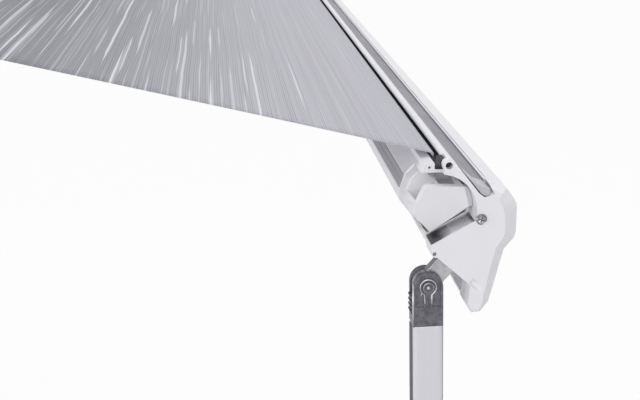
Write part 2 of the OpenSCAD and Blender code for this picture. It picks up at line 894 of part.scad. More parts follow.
wall_brackets();
case_shell();
case_end_cap_left();
case_end_cap_right();
case_end_screws();
gearbox_housing();
roller_bush();
shoulder_brackets();
shoulder_pins();
fabric();
roller_tube();
fabric_wrap();
roller_idler_plug();
roller_drive_plug();
worm_wheel();
worm_shaft();
crank_eye();
upper_arm_left();
upper_arm_right();
shoulder_fork_left();
shoulder_fork_right();
elbow_fork_left();
elbow_fork_right();
arm_spring_left();
arm_spring_right();
elbow_pin_left();
elbow_pin_right();
forearm_left();
forearm_right();
elbow_tongue_left();
elbow_tongue_right();
wrist_fork_left();
wrist_fork_right();
lead_rail();
rail_fascia();
rail_end_cap_left();
rail_end_cap_right();
tube_plugs();
rail_cap_screws();
wrist_brackets();
wrist_pins();
hem_rod();
gutter_strip();
leg_fold_pins();
leg_neck_left();
leg_neck_right();
leg_swing_pin_left();
leg_swing_pin_right();
leg_knuckle_left();
leg_knuckle_right();
leg_outer_left();
leg_outer_right();
leg_collar_left();
leg_collar_right();
clamp_lever_left();
clamp_lever_right();
leg_inner_left();
leg_inner_right();
leg_foot_left();
leg_foot_right();
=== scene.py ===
import json
import math
import random

import bpy
from mathutils import Matrix, Vector


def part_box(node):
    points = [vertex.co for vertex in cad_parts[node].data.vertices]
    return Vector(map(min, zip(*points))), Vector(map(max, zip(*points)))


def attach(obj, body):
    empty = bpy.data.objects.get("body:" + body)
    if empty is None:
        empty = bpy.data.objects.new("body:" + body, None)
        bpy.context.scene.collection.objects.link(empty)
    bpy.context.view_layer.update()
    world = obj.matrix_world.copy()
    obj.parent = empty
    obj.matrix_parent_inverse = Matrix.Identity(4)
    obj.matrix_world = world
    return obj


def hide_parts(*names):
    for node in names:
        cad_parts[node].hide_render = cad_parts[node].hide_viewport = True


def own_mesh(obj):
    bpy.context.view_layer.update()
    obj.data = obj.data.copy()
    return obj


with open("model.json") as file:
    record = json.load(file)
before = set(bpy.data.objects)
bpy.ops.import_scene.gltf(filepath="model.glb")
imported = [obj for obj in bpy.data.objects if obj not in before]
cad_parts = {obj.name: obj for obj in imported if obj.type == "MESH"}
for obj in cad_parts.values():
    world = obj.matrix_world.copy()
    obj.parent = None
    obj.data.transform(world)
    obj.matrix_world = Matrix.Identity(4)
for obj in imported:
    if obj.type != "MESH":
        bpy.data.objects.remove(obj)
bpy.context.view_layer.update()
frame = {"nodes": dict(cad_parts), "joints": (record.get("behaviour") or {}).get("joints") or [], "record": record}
nodes = frame["nodes"]
record = frame["record"]
joints = {j["name"]: j for j in frame["joints"]}
mounts = {m["name"]: m for m in record["mounts"]}
mm = 0.001
print("frame loaded,", len(nodes), "nodes")


def jointPoint(name):
    return Vector(joints[name]["pos_m"])


def jointAxis(name):
    return Vector(joints[name]["axis"])


# places that the looks are hung on
ridge = Vector(mounts["left_rail_port"]["pos_m"])
slopeUp = jointAxis("arm_fold")
slopeIn = Vector((0, slopeUp.z, -slopeUp.y))  # along the fabric, towards the wall
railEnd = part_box("rail_end_cap_left")[0].x
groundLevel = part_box("leg_foot_left")[0].z


# shader helpers
def addNode(tree, kind, **values):
    made = tree.nodes.new(kind)
    for key, value in values.items():
        if hasattr(made, key):
            setattr(made, key, value)
        else:
            made.inputs[key.replace("_", " ")].default_value = value
    return made


def startFinish(name):
    finish = bpy.data.materials.new(name)
    finish.use_nodes = True
    tree = finish.node_tree
    return finish, tree, tree.nodes["Principled BSDF"]


def localPlace(tree, stretch=(1, 1, 1)):
    place = addNode(tree, "ShaderNodeTexCoord")
    mapping = addNode(tree, "ShaderNodeMapping")
    mapping.inputs["Scale"].default_value = stretch
    tree.links.new(place.outputs["Object"], mapping.inputs["Vector"])
    return mapping.outputs["Vector"]


def noiseOf(tree, vector, scale, detail=3.0, roughness=0.55):
    noise = addNode(tree, "ShaderNodeTexNoise", Scale=scale, Detail=detail, Roughness=roughness)
    tree.links.new(vector, noise.inputs["Vector"])
    return noise.outputs["Fac"]


def spread(tree, value, low, high, fromLow=0.3, fromHigh=0.7):
    reach = addNode(tree, "ShaderNodeMapRange")
    reach.inputs["From Min"].default_value = fromLow
    reach.inputs["From Max"].default_value = fromHigh
    reach.inputs["To Min"].default_value = low
    reach.inputs["To Max"].default_value = high
    tree.links.new(value, reach.inputs["Value"])
    return reach.outputs["Result"]


def mathOf(tree, operation, first, second=None, third=None):
    node = addNode(tree, "ShaderNodeMath", operation=operation)
    for socket, value in zip(node.inputs, (first, second, third)):
        if isinstance(value, (int, float)):
            socket.default_value = value
        elif value is not None:
            tree.links.new(value, socket)
    return node.outputs[0]


def mixColour(tree, share, first, second, how="MIX"):
    mix = addNode(tree, "ShaderNodeMix", data_type="RGBA", blend_type=how)
    for socket, value in ((mix.inputs[0], share), (mix.inputs[6], first), (mix.inputs[7], second)):
        if isinstance(value, (int, float)):
            socket.default_value = value
        elif isinstance(value, tuple):
            socket.default_value = (*value, 1)
        else:
            tree.links.new(value, socket)
    return mix.outputs[2]


def bumpFrom(tree, height, shader, depth, strength=1.0):
    bump = addNode(tree, "ShaderNodeBump", Strength=strength, Distance=depth)
    tree.links.new(height, bump.inputs["Height"])
    tree.links.new(bump.outputs["Normal"], shader.inputs["Normal"])


def axesOf(tree, vector):
    split = addNode(tree, "ShaderNodeSeparateXYZ")
    tree.links.new(vector, split.inputs[0])
    return split.outputs


def pointiness(tree):
    # one half on a flat, less in a hollow and more on an edge
    return addNode(tree, "ShaderNodeNewGeometry").outputs["Pointiness"]


def edgeWearAndHighlight(tree, low, high):
    # bright on a convex edge: rubbed wear, and a painted highlight along the edge as well
    return spread(tree, pointiness(tree), 0.0, 1.0, low, high)


hollows = (0.42, 0.495)  # pointiness between which the hollow colour is mixed in


def coating(name, look):
    # powder coat or moulded plastic: faint tone drift, darker in the hollows on pale pieces and paler on black
    # ones, and a fine skin
    finish, tree, shader = startFinish(name)
    place = localPlace(tree)
    drift = noiseOf(tree, place, look["driftScale"], 3.0)
    skin = noiseOf(tree, place, look["skinScale"], 2.0)
    colour = mixColour(tree, spread(tree, drift, 0.0, 1.0), look["colour"], look["shade"])
    hollowShare = spread(tree, pointiness(tree), look.get("hollowShare", 0.25), 0.0, *hollows)
    colour = mixColour(tree, hollowShare, colour, look["hollowColour"])
    # paler from endFrom outwards: a grey that paints the shaded white of the caps' gutter
    if "capShadeColour" in look:
        reach = mathOf(tree, "ABSOLUTE", axesOf(tree, place)["X"])
        ends = spread(tree, reach, 0.0, 1.0, look["endFrom"], look["endFrom"] + 0.5 * mm)
        colour = mixColour(tree, ends, colour, look["capShadeColour"])
    tree.links.new(colour, shader.inputs["Base Color"])
    smear = noiseOf(tree, place, look["driftScale"] * 6, 4.0)
    tree.links.new(spread(tree, smear, *look["roughness"]), shader.inputs["Roughness"])
    bumpFrom(tree, skin, shader, look["skinDepth"], 0.5)
    shader.inputs["Coat Weight"].default_value = look.get("coat", 0.0)
    shader.inputs["Coat Roughness"].default_value = 0.25
    return finish


def brushedMetal(name, look):
    # fine draw lines along one axis, with bright edges that are partly rubbed wear and partly painted highlight
    finish, tree, shader = startFinish(name)
    lines = noiseOf(tree, localPlace(tree, look["stretch"]), look["lineScale"], 4.0, 0.7)
    tone = noiseOf(tree, localPlace(tree), look["toneScale"], 3.0)
    colour = mixColour(tree, spread(tree, lines, 0.0, 1.0), look["colour"], look["shade"])
    colour = mixColour(tree, spread(tree, tone, 0.0, look.get("stainAndPaintedDark", 0.35)), colour, look["stainColour"])
    if "wearAndHighlight" in look:
        colour = mixColour(tree, edgeWearAndHighlight(tree, *look["wearAndHighlight"]), colour, look["wearAndHighlightColour"])
    tree.links.new(colour, shader.inputs["Base Color"])
    shader.inputs["Metallic"].default_value = look.get("metallic", 1.0)
    tree.links.new(spread(tree, lines, *look["roughness"]), shader.inputs["Roughness"])
    bumpFrom(tree, lines, shader, look["lineDepth"], 0.4)
    return finish


def castMetal(name, look):
    # sand textured casting with bright edges, partly rubbed wear and partly painted highlight
    finish, tree, shader = startFinish(name)
    place = localPlace(tree)
    mottle = noiseOf(tree, place, look["mottleScale"], 5.0, 0.65)
    grain = noiseOf(tree, place, look["grainScale"], 3.0)
    colour = mixColour(tree, spread(tree, mottle, 0.0, 1.0, 0.35, 0.65), look["colour"], look["shade"])
    colour = mixColour(tree, edgeWearAndHighlight(tree, *look["wearAndHighlight"]), colour, look["wearAndHighlightColour"])
    tree.links.new(colour, shader.inputs["Base Color"])
    shader.inputs["Metallic"].default_value = look["metallic"]
    tree.links.new(spread(tree, mottle, *look["roughness"]), shader.inputs["Roughness"])
    bumpFrom(tree, grain, shader, look["grainDepth"], 0.5)
    return finish


def reflectionPaintedSteel(name, look):
    # polished strip, dark at its two ends and clear in the middle: a painted reflection
    finish, tree, shader = startFinish(name)
    place = localPlace(tree)
    smear = noiseOf(tree, place, look["smearScale"], 3.0)
    across = mathOf(tree, "MULTIPLY_ADD", smear, look["smear"], axesOf(tree, place)["Y"])
    share = mathOf(tree, "MAXIMUM", spread(tree, across, 0.0, 1.0, *look["darkWall"]),
        spread(tree, across, 0.0, 1.0, *look["darkFront"]))
    colour = mixColour(tree, share, look["colour"], look["stainAndPaintedDark"])
    tree.links.new(colour, shader.inputs["Base Color"])
    shader.inputs["Metallic"].default_value = 0.5
    tree.links.new(spread(tree, smear, *look["roughness"]), shader.inputs["Roughness"])
    bumpFrom(tree, noiseOf(tree, place, look["grainScale"], 2.0), shader, look["grainDepth"], 0.3)
    return finish


whiteCoat = {"colour": (0.86, 0.86, 0.875), "shade": (0.82, 0.82, 0.845),
    "hollowColour": (0.55, 0.54, 0.58), "driftScale": 5.0, "skinScale": 900.0, "skinDepth": 0.00006,
    "roughness": (0.30, 0.42), "coat": 0.15}
capMoulding = {"colour": (0.87, 0.865, 0.885), "shade": (0.83, 0.825, 0.85),
    "hollowColour": (0.55, 0.54, 0.58), "driftScale": 9.0, "skinScale": 1400.0, "skinDepth": 0.00005,
    "roughness": (0.28, 0.40)}
plugMoulding = {"colour": (0.82, 0.82, 0.83), "shade": (0.76, 0.76, 0.78),
    "hollowColour": (0.35, 0.34, 0.37), "driftScale": 18.0, "skinScale": 1200.0, "skinDepth": 0.00006,
    "roughness": (0.35, 0.5), "hollowShare": 0.5}
gutterLining = {"colour": (0.275, 0.262, 0.297), "shade": (0.22, 0.21, 0.245),
    "hollowColour": (0.18, 0.18, 0.2), "driftScale": 7.0, "skinScale": 800.0, "skinDepth": 0.00008,
    "roughness": (0.35, 0.55),
    "capShadeColour": (0.54, 0.52, 0.56), "endFrom": 1.475}  # paler grey at both ends, from this far out, painting the caps' white gutter in shade
# a grey that paints the shade on the inner tube's side
tubeShadeGrey = {"colour": (0.46, 0.46, 0.49), "shade": (0.40, 0.40, 0.43), "hollowColour": (0.2, 0.2, 0.22),
    "driftScale": 6.0, "skinScale": 1000.0, "skinDepth": 0.00008, "roughness": (0.5, 0.65)}
# near black rubber, also used to paint shade in the slot and the screw port
blackRubberAndShade = {"colour": (0.012, 0.012, 0.014), "shade": (0.02, 0.02, 0.022),
    "hollowColour": (0.04, 0.04, 0.04), "driftScale": 25.0, "skinScale": 1500.0, "skinDepth": 0.0001,
    "roughness": (0.55, 0.7)}
blackMoulding = {"colour": (0.022, 0.022, 0.024), "shade": (0.035, 0.035, 0.037),
    "hollowColour": (0.10, 0.10, 0.10), "driftScale": 25.0, "skinScale": 1500.0, "skinDepth": 0.0001,
    "roughness": (0.45, 0.62)}
# a grey that paints the shade of a groove down the leg's sides
grooveShadeGrey = {"colour": (0.165, 0.165, 0.175), "shade": (0.135, 0.135, 0.145),
    "hollowColour": (0.08, 0.08, 0.09), "driftScale": 20.0, "skinScale": 1200.0, "skinDepth": 0.00008,
    "roughness": (0.42, 0.58)}
legMetal = {"colour": (0.70, 0.695, 0.735), "shade": (0.64, 0.635, 0.68),
    "stainColour": (0.62, 0.615, 0.66), "stretch": (60, 60, 0.5), "lineScale": 18.0, "toneScale": 6.0,
    "roughness": (0.32, 0.42), "lineDepth": 0.00001, "metallic": 0.4}
barMetal = {"colour": (0.50, 0.505, 0.52), "shade": (0.40, 0.40, 0.42),
    "stainColour": (0.31, 0.31, 0.32), "stretch": (40, 40, 40), "lineScale": 16.0, "toneScale": 40.0,
    "roughness": (0.42, 0.56), "lineDepth": 0.00004, "wearAndHighlight": (0.52, 0.60),
    "wearAndHighlightColour": (0.80, 0.80, 0.82)}
screwMetal = {"colour": (0.46, 0.46, 0.49), "shade": (0.16, 0.16, 0.17),
    "stainColour": (0.05, 0.05, 0.055), "stretch": (40, 40, 40), "lineScale": 14.0, "toneScale": 330.0,
    "roughness": (0.18, 0.34), "lineDepth": 0.00004, "stainAndPaintedDark": 0.75, "wearAndHighlight": (0.52, 0.58),
    "wearAndHighlightColour": (0.80, 0.80, 0.83)}
neckMetal = {"colour": (0.56, 0.56, 0.585), "shade": (0.36, 0.36, 0.38),
    "stainColour": (0.24, 0.24, 0.26), "stretch": (60, 1, 1), "lineScale": 70.0, "toneScale": 60.0,
    "roughness": (0.22, 0.42), "lineDepth": 0.00005, "wearAndHighlight": (0.52, 0.58),
    "wearAndHighlightColour": (0.86, 0.86, 0.88)}
# on the knuckle the bright edges paint its highlights as well as its wear
knuckleCasting = {"colour": (0.086, 0.084, 0.099), "shade": (0.165, 0.162, 0.187), "mottleScale": 260.0,
    "grainScale": 900.0, "grainDepth": 0.00025, "roughness": (0.32, 0.50), "metallic": 0.4,
    "wearAndHighlight": (0.58, 0.72), "wearAndHighlightColour": (0.70, 0.70, 0.73)}
rivetMetal = {"colour": (0.17, 0.17, 0.18), "shade": (0.10, 0.10, 0.11),
    "stainColour": (0.06, 0.06, 0.065), "stretch": (60, 60, 60), "lineScale": 20.0, "toneScale": 90.0,
    "roughness": (0.24, 0.4), "lineDepth": 0.00005, "wearAndHighlight": (0.52, 0.60),
    "wearAndHighlightColour": (0.40, 0.40, 0.42)}
# bright metal on the dark knuckle: it paints the highlights of the rib, the rivet's dot and the corner
highlightMetal = {"colour": (0.62, 0.62, 0.65), "shade": (0.45, 0.45, 0.48),
    "stainColour": (0.20, 0.20, 0.22), "stretch": (50, 50, 50), "lineScale": 20.0, "toneScale": 160.0,
    "roughness": (0.22, 0.38), "lineDepth": 0.00003, "stainAndPaintedDark": 0.55}
# the liner's dark sides towards the wall and the front paint a reflection
linerSteel = {"colour": (0.66, 0.66, 0.69), "stainAndPaintedDark": (0.055, 0.052, 0.06), "smearScale": 60.0,
    "smear": 6.0 * mm, "darkWall": (ridge.y - 1.0 * mm, ridge.y + 8.5 * mm),
    "darkFront": (ridge.y - 14.6 * mm, ridge.y - 17.5 * mm), "roughness": (0.22, 0.36),
    "grainScale": 900.0, "grainDepth": 0.00005}
greyCasting = {"colour": (0.66, 0.66, 0.675), "shade": (0.58, 0.58, 0.60), "mottleScale": 120.0,
    "grainScale": 800.0, "grainDepth": 0.00018, "roughness": (0.36, 0.52), "metallic": 0.0,
    "wearAndHighlight": (0.53, 0.62), "wearAndHighlightColour": (0.80, 0.80, 0.81)}
gearCasting = {"colour": (0.10, 0.105, 0.115), "shade": (0.15, 0.15, 0.16), "mottleScale": 90.0,
    "grainScale": 700.0, "grainDepth": 0.0002, "roughness": (0.4, 0.55), "metallic": 0.0,
    "wearAndHighlight": (0.53, 0.62), "wearAndHighlightColour": (0.4, 0.4, 0.41)}
brassCut = {"colour": (0.72, 0.52, 0.22), "shade": (0.58, 0.40, 0.15),
    "stainColour": (0.34, 0.22, 0.09), "stretch": (30, 1, 1), "lineScale": 50.0, "toneScale": 80.0,
    "roughness": (0.22, 0.4), "lineDepth": 0.00004, "wearAndHighlight": (0.52, 0.6),
    "wearAndHighlightColour": (0.86, 0.68, 0.36)}
springWire = {"colour": (0.20, 0.20, 0.21), "shade": (0.13, 0.13, 0.14),
    "stainColour": (0.10, 0.08, 0.06), "stretch": (20, 20, 20), "lineScale": 30.0, "toneScale": 60.0,
    "roughness": (0.3, 0.45), "lineDepth": 0.00004}
tubeZinc = {"colour": (0.56, 0.57, 0.59), "shade": (0.47, 0.48, 0.50),
    "stainColour": (0.40, 0.41, 0.43), "stretch": (0.5, 40, 40), "lineScale": 14.0, "toneScale": 25.0,
    "roughness": (0.32, 0.48), "lineDepth": 0.00003}

fabricLook = {
    "farTone": (0.200, 0.210, 0.232),  # towards the wall
    "nearTone": (0.56, 0.555, 0.605),  # towards the rail, lighter as a painted sheen
    "toneRun": (0.02, 0.42),  # distance from the rail over which the painted sheen fades out, in metres
    "railAt": -1.755,  # the rail's slot on the sheet
    "streak": (0.76, 0.76, 0.80),
    "streakRun": (0.05, 0.20),  # streaks thin out towards the rail
    "lineDark": 0.58,
    "linePitch": 1.95 * mm,
    "weavePitch": 0.8 * mm,
    "wander": (2.2 * mm, 0.5 * mm),  # of the bends and of the kinks
    # changes along a metre and across it, or from row to row, and a place in the noise
    "bend": (7.0, 16.0, 3.0),
    "kink": (30.0, 40.0, 8.0),
    "lineRun": (4.0, 5.17, 1.0),
    "cloud": (5.0, 0.16),  # changes in a metre and share of the pale clouds
    "warpDark": 0.86,
    # row pitch, changes along a metre, start, gain, widest share of the row and brightness of each set
    "slubs": ((13.0 * mm, 2.5, 0.475, 1.5, 0.20, 0.95), (8.5 * mm, 3.1, 0.51, 1.5, 0.18, 0.5),
        (21.0 * mm, 4.4, 0.495, 1.2, 0.12, 0.85), (4.6 * mm, 3.6, 0.45, 2.2, 0.55, 0.25)),
    "slubJump": (7.31, 9000),  # keeps the rows, and the sets, apart in the noise
    "relief": 0.2 * mm,
}


def wovenFabric(look):
    # solution dyed acrylic: dark pick lines along the rail with irregular pale slubs between them
    finish, tree, shader = startFinish("awningCloth")
    place = addNode(tree, "ShaderNodeTexCoord").outputs["Object"]
    along, level, _ = axesOf(tree, place)
    fromRail = mathOf(tree, "SUBTRACT", level, look["railAt"])

    def driftOf(value, scales, detail):
        seat = addNode(tree, "ShaderNodeCombineXYZ", Z=scales[2])
        tree.links.new(mathOf(tree, "MULTIPLY", along, scales[0]), seat.inputs["X"])
        tree.links.new(mathOf(tree, "MULTIPLY", value, scales[1]), seat.inputs["Y"])
        return noiseOf(tree, seat.outputs[0], 1.0, detail)

    def wave(value, pitch, sharp):
        turn = mathOf(tree, "MULTIPLY", value, 2 * math.pi / pitch)
        ripple = mathOf(tree, "MULTIPLY_ADD", mathOf(tree, "COSINE", turn), 0.5, 0.5)
        return mathOf(tree, "POWER", ripple, sharp)

    def rowsOf(value, pitch):
        return mathOf(tree, "FLOOR", mathOf(tree, "DIVIDE", value, pitch))

    def diceOf(rows):
        dice = addNode(tree, "ShaderNodeTexWhiteNoise", noise_dimensions="1D")
        tree.links.new(rows, dice.inputs["W"])
        return dice.outputs["Value"]

    # threads that drift a little from straight, in long bends and short kinks
    bendBy, kinkBy = look["wander"]
    across = mathOf(tree, "MULTIPLY_ADD", driftOf(level, look["bend"], 1.0), bendBy, level)
    across = mathOf(tree, "MULTIPLY_ADD", driftOf(level, look["kink"], 2.0), kinkBy, across)

    # painted sheen, lighter from the wall to the rail, and the dark lines between the threads
    ease = addNode(tree, "ShaderNodeMapRange", interpolation_type="SMOOTHSTEP")
    ease.inputs["From Min"].default_value, ease.inputs["From Max"].default_value = look["toneRun"]
    tree.links.new(fromRail, ease.inputs["Value"])
    colour = mixColour(tree, ease.outputs["Result"], look["nearTone"], look["farTone"])
    cloudScale, cloudShare = look["cloud"]
    cloud = noiseOf(tree, place, cloudScale, 2.0)
    colour = mixColour(tree, spread(tree, cloud, 0.0, cloudShare), colour, look["nearTone"])
    rows = rowsOf(across, look["linePitch"])
    pick = wave(across, look["linePitch"], 0.8)
    warp = wave(along, look["weavePitch"], 1.0)
    rowTone = spread(tree, diceOf(rows), 0.3, 1.0, 0.0, 1.0)
    rowRun = spread(tree, driftOf(rows, look["lineRun"], 1.0), 0.6, 1.0)
    lineShare = mathOf(tree, "MULTIPLY", mathOf(tree, "SUBTRACT", 1.0, pick),
        mathOf(tree, "MULTIPLY", rowTone, rowRun))
    dark = mixColour(tree, 1.0, colour, (look["lineDark"],) * 3, "MULTIPLY")
    colour = mixColour(tree, lineShare, colour, dark)

    # slubs: each grows from a point, keeps to its row and tapers off again
    thin = spread(tree, fromRail, 0.20, 0.0, *look["streakRun"])
    rowJump, setJump = look["slubJump"]
    slub = None
    for pitch, changes, start, gain, widest, bright in look["slubs"]:
        rows = rowsOf(across, pitch)
        dice = diceOf(rows)
        length = driftOf(rows, (changes, rowJump, pitch * setJump), 0.0)
        spare = mathOf(tree, "SUBTRACT", mathOf(tree, "SUBTRACT", length, start), thin)
        swell = mathOf(tree, "MINIMUM", mathOf(tree, "MULTIPLY", spare, gain), widest)
        edge = mathOf(tree, "FRACT", mathOf(tree, "DIVIDE", across, pitch))
        inRow = mathOf(tree, "MULTIPLY_ADD", edge, 2.0, -1.0)
        core = spread(tree, dice, -0.5, 0.5, 0.0, 1.0)
        fromCore = mathOf(tree, "ABSOLUTE", mathOf(tree, "SUBTRACT", inRow, core))
        body = spread(tree, mathOf(tree, "SUBTRACT", swell, fromCore), 0.0, bright, -0.02, 0.09)
        again = mathOf(tree, "FRACT", mathOf(tree, "MULTIPLY", dice, 7.7))
        body = mathOf(tree, "MULTIPLY", body, spread(tree, again, 0.45, 1.0, 0.0, 0.8))
        slub = body if slub is None else mathOf(tree, "MAXIMUM", slub, body)
    colour = mixColour(tree, slub, colour, look["streak"])
    fine = mixColour(tree, 1.0, colour, (look["warpDark"],) * 3, "MULTIPLY")
    colour = mixColour(tree, mathOf(tree, "MULTIPLY", warp, 0.5), colour, fine)
    tree.links.new(colour, shader.inputs["Base Color"])
    height = mathOf(tree, "ADD", mathOf(tree, "MULTIPLY", pick, 0.7), mathOf(tree, "MULTIPLY", warp, 0.3))
    bumpFrom(tree, height, shader, look["relief"], 0.4)
    tree.links.new(spread(tree, pick, 0.75, 0.62, 0.0, 1.0), shader.inputs["Roughness"])
    shader.inputs["Sheen Weight"].default_value = 0.15
    shader.inputs["Sheen Roughness"].default_value = 0.5
    shader.inputs["Specular IOR Level"].default_value = 0.25
    return finish


cloth = wovenFabric(fabricLook)
finishes = {
    "rail_white": coating("railWhite", whiteCoat),
    "case_white": coating("caseWhite", whiteCoat),
    "arm_white": coating("armWhite", whiteCoat),
    "cap_white": coating("capWhite", capMoulding),
    "plug_grey": coating("plugPale", plugMoulding),
    "gutter_grey": coating("gutterLining", gutterLining),
    "black_plastic": coating("blackMoulding", blackMoulding),
    "leg_silver": brushedMetal("legAnodised", legMetal),
    "bracket_metal": brushedMetal("bracketAlloy", barMetal),
    "screw_steel": brushedMetal("zincSteel", screwMetal),
    "neck_alloy": brushedMetal("neckAlloy", neckMetal),
    "knuckle_dark": castMetal("knuckleCasting", knuckleCasting),
    "arm_casting": castMetal("armCasting", greyCasting),
    "gearbox_grey": castMetal("gearCasting", gearCasting),
    "wheel_brass": brushedMetal("cutBrass", brassCut),
    "spring_steel": brushedMetal("springWire", springWire),
    "roller_steel": brushedMetal("rollerZinc", tubeZinc),
    "awning_fabric": cloth,
}
# nodes whose finish differs from the rest of their slot
ownFinish = {"leg_swing_pin": brushedMetal("rivetSteel", rivetMetal)}
# painted highlight: bright metal for the knuckle's rib, rivet dot and corner
highlightFinish = brushedMetal("ribHighlight", highlightMetal)
tubeShadeFinish = coating("tubeShadeGrey", tubeShadeGrey)
blackRubberAndShadeFinish = coating("blackRubberAndShade", blackRubberAndShade)
grooveShadeFinish = coating("legGrooveShade", grooveShadeGrey)
linerFinish = reflectionPaintedSteel("ledgeLiner", linerSteel)
print("finishes made,", len(finishes))

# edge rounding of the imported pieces, in mm, by node; other nodes take the first value
edgeRound = {"": 0.5, "rail_end_cap_left": 1.0, "rail_end_cap_right": 1.0, "tube_plugs": 0.7,
    "lead_rail": 0.4, "rail_fascia": 0.4, "case_shell": 0.6, "case_end_cap_left": 1.2,
    "case_end_cap_right": 1.2, "worm_shaft": 0.0, "worm_wheel": 0.15, "fabric": 0.0, "fabric_wrap": 0.0,
    "hem_rod": 0.3, "leg_knuckle_left": 0.6, "leg_knuckle_right": 0.6}
fineMesh = {"leg_knuckle": 2}  # extra splits, so that the bright edges, wear and painted highlight, stay narrow
edgeStyle = {"weld": 0.01 * mm, "segments": 2, "sharpFrom": 28}  # sharpFrom in degrees


def roundEdges(piece, width):
    weld = piece.modifiers.new("weld", "WELD")
    weld.merge_threshold = edgeStyle["weld"]
    if width > 0:
        bevel = piece.modifiers.new("edge", "BEVEL")
        bevel.width = width * mm
        bevel.segments = edgeStyle["segments"]
        bevel.limit_method = "ANGLE"
        bevel.angle_limit = math.radians(edgeStyle["sharpFrom"])
        bevel.harden_normals = False
        bevel.use_clamp_overlap = True
    normals = piece.modifiers.new("normals", "WEIGHTED_NORMAL")
    normals.keep_sharp = True


def dressNodes():
    for part in record["subparts"]:
        piece = nodes[part["node"]]
        piece.data.materials.clear()
        family = part["node"].rsplit("_", 1)[0]
        piece.data.materials.append(ownFinish.get(family, finishes[part["material_slot"]]))
        roundEdges(piece, edgeRound.get(part["node"], edgeRound[""]))
        if family in fineMesh:
            split = piece.modifiers.new("fine", "SUBSURF")
            split.subdivision_type = "SIMPLE"
            split.levels = split.render_levels = fineMesh[family]


dressNodes()
print("packed pieces dressed")


def meshPiece(name, points, faces, finish, slotName, body, smooth=True, place=None):
    mesh = bpy.data.meshes.new(name)
    mesh.from_pydata(points, [], faces)
    mesh.update()
    piece = bpy.data.objects.new(name, mesh)
    bpy.context.scene.collection.objects.link(piece)
    if place is not None:
        piece.matrix_world = place
    mesh.materials.append(finish)
    for face in mesh.polygons:
        face.use_smooth = smooth
    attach(piece, body)
    return piece


# fabric sheet
sheet = {
    "thick": 0.7 * mm,
    "sag": 5.0 * mm,  # at mid span, below the straight line
    "ripple": 1.2 * mm,
    "waves": 5,
    "seed": 7,
    "under": 0.15 * mm,  # below the top of the solid
    "columns": 150,
    "rows": 110,
    # how the hem rolls down into the rail's slot, from the end of the flat part, in mm
    "hem": ((-0.45, -0.06), (-0.85, -0.3), (-1.1, -0.75), (-1.2, -1.5), (-1.2, -2.9)),
}


def makeSheet():
    low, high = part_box("fabric")
    width = high.x - low.x
    rollerTop = Vector((0, high.y, high.z))  # upper back edge of the solid
    length = (high.y - low.y) / slopeIn.y
    turn = Matrix(((1, 0, 0), slopeIn, slopeUp)).transposed()
    dice = random.Random(sheet["seed"])
    waves = [(dice.uniform(0.8, 3.4), dice.uniform(0, 6.28), dice.uniform(1.0, 3.0))
        for _ in range(sheet["waves"])]
    cols, flatRows = sheet["columns"], sheet["rows"]
    flatRun = length + sheet["hem"][-1][0] * mm
    path = [(-flatRun * j / flatRows, 0.0) for j in range(flatRows + 1)]
    path += [(-flatRun + y * mm, z * mm) for y, z in sheet["hem"]]
    arc = sum(math.dist(a, b) for a, b in zip(path, path[1:]))
    rows = len(path) - 1
    top, under = [], []
    for j, (y, drop) in enumerate(path):
        before, after = path[max(j - 1, 0)], path[min(j + 1, rows)]
        run = Vector((after[0] - before[0], after[1] - before[1])).normalized()
        t = min(j / flatRows, 1.0)
        hang = math.sin(math.pi * t) ** 2
        for i in range(cols + 1):
            x = -width / 2 + width * i / cols
            ripple = sum(math.sin(a * x * 4 + b + c * t * 3) for a, b, c in waves) / len(waves)
            z = drop - sheet["under"] - (sheet["sag"] + ripple * sheet["ripple"]) * hang
            top.append((x, y, z))
            under.append((x, y - run.y * sheet["thick"], z + run.x * sheet["thick"]))
    step = cols + 1
    count = len(top)
    faces = []
    for j in range(rows):
        for i in range(cols):
            a = j * step + i
            faces.append((a, a + step, a + step + 1, a + 1))
            faces.append((count + a, count + a + 1, count + a + step + 1, count + a + step))
    rim = list(range(step)) + [j * step + cols for j in range(1, rows + 1)]
    rim += [rows * step + i for i in range(cols - 1, -1, -1)] + [j * step for j in range(rows - 1, 0, -1)]
    for a, b in zip(rim, rim[1:] + rim[:1]):
        faces.append((a, b, count + b, count + a))
    piece = meshPiece("awningSheet", top + under, faces, cloth, "awning_fabric", "case",
        place=Matrix.Translation(rollerTop) @ turn.to_4x4())
    for face in piece.data.polygons:
        face.use_smooth = face.index < 2 * rows * cols  # the cut rim stays crisp
    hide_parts("fabric")
    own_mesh(piece)


makeSheet()
print("fabric sheet made")

# wound cloth left on the roller
wound = {"turns": 2.0, "thick": 0.6 * mm, "steps": 72, "lift": 0.25 * mm}


def makeWound():
    low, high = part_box("fabric_wrap")
    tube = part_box("roller_tube")
    centre = (low + high) / 2
    inner = (tube[1].y - tube[0].y) / 2 + wound["lift"]
    outer = (high.y - low.y) / 2 - wound["thick"]
    points, faces = [], []
    total = int(wound["steps"] * wound["turns"])
    for k in range(total + 1):
        angle = 2 * math.pi * k / wound["steps"] + math.pi / 2
        radius = inner + (outer - inner) * k / total
        for r in (radius, radius + wound["thick"]):
            y = centre.y - r * math.cos(angle)
            z = centre.z + r * math.sin(angle)
            points += [(low.x, y, z), (high.x, y, z)]
    for k in range(total):
        a = 4 * k
        b = a + 4
        faces += [(a, a + 1, b + 1, b), (a + 2, b + 2, b + 3, a + 3), (a, b, b + 2, a + 2),
            (a + 1, a + 3, b + 3, b + 1)]
    faces += [(0, 2, 3, 1), (4 * total, 4 * total + 1, 4 * total + 3, 4 * total + 2)]
    piece = meshPiece("woundCloth", points, faces, cloth, "awning_fabric", "roller")
    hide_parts("fabric_wrap")


makeWound()
print("wound cloth made")

